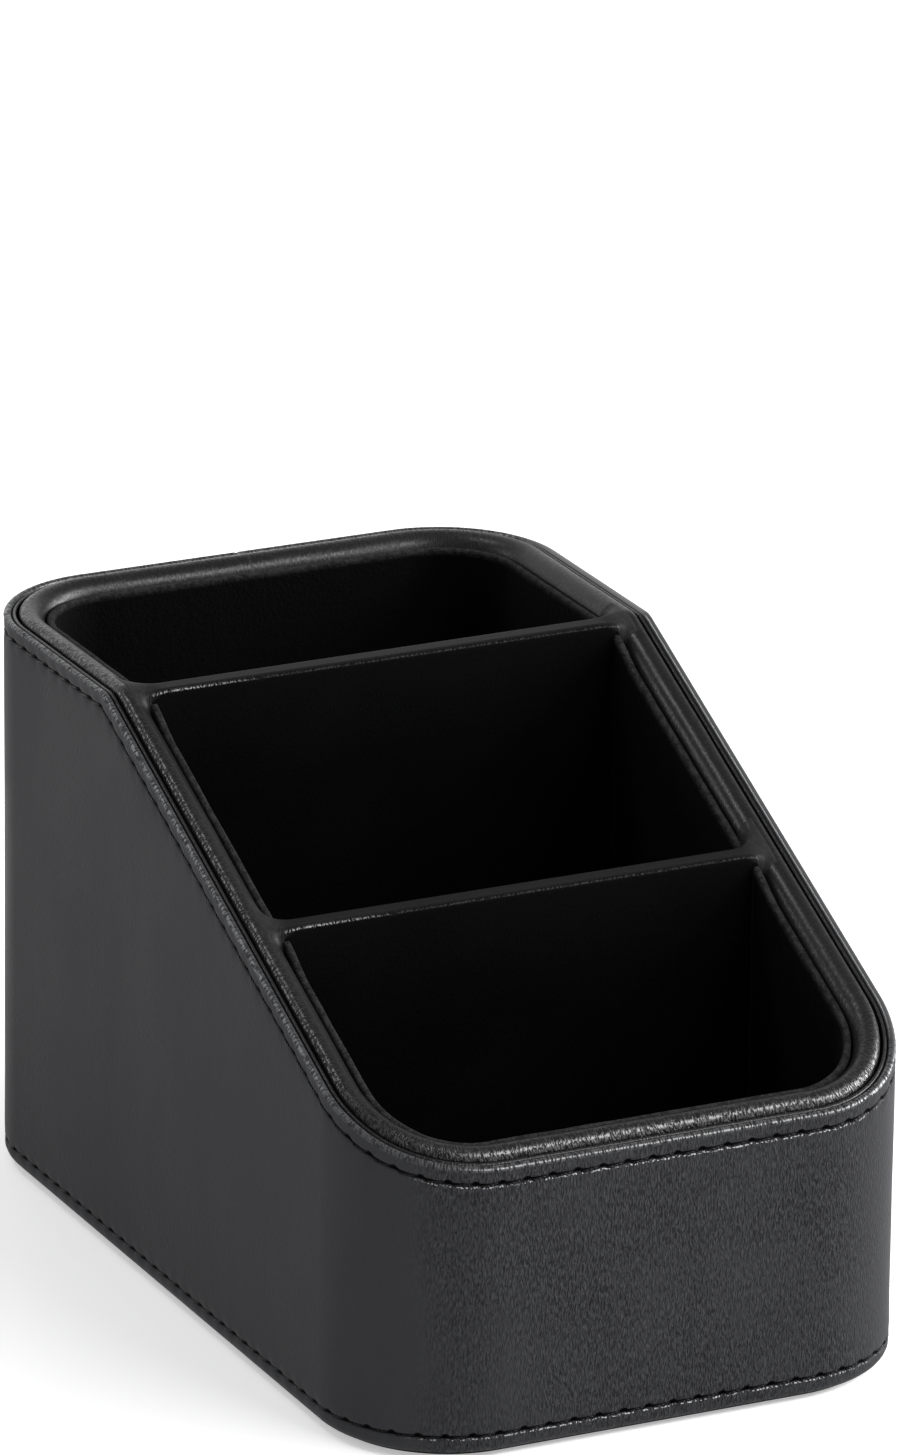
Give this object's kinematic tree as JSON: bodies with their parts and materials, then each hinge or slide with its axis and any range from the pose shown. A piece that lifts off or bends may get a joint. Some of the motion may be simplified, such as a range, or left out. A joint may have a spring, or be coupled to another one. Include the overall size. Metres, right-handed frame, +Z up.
{
  "type": "remote control holder",
  "caption": "Leather-covered desk caddy for remote controls: a rounded box with a rim that slopes down to the front, divided into open compartments.",
  "frame": {"origin": "middle of the underside, on the surface that the holder stands on", "axes": "+Z up; -Y towards the low front, +Y towards the tall back; +X to the right seen from the front"},
  "size_m": [0.12, 0.196, 0.1176],
  "materials": {
    "outer_leather": "satin charcoal-black grained leatherette",
    "rim_leather": "satin charcoal-black grained leatherette",
    "divider_leather": "smooth satin charcoal-black leatherette",
    "backing_card": "turned-in leatherette over stiff card",
    "board": "plain fibreboard, hidden under the covers",
    "lining": "matt black flannel over card",
    "base_felt": "black felt"
  },
  "bodies": {
    "root": {"outer_wrap": "outer_leather", "wrap_backing": "backing_card", "rim_cover": "rim_leather", "front_board": "board", "rear_board": "board", "left_board": "board", "right_board": "board", "front_left_corner": "board", "front_right_corner": "board", "rear_left_corner": "board", "rear_right_corner": "board", "rear_divider_board": "board", "front_divider_board": "board", "rear_divider_cover": "divider_leather", "front_divider_cover": "divider_leather", "rear_lining": "lining", "middle_lining_left": "lining", "middle_lining_right": "lining", "front_lining": "lining", "rear_floor_pad": "lining", "middle_floor_pad": "lining", "front_floor_pad": "lining", "base_board": "board", "bottom_pad": "base_felt"}
  },
  "joints": []
}
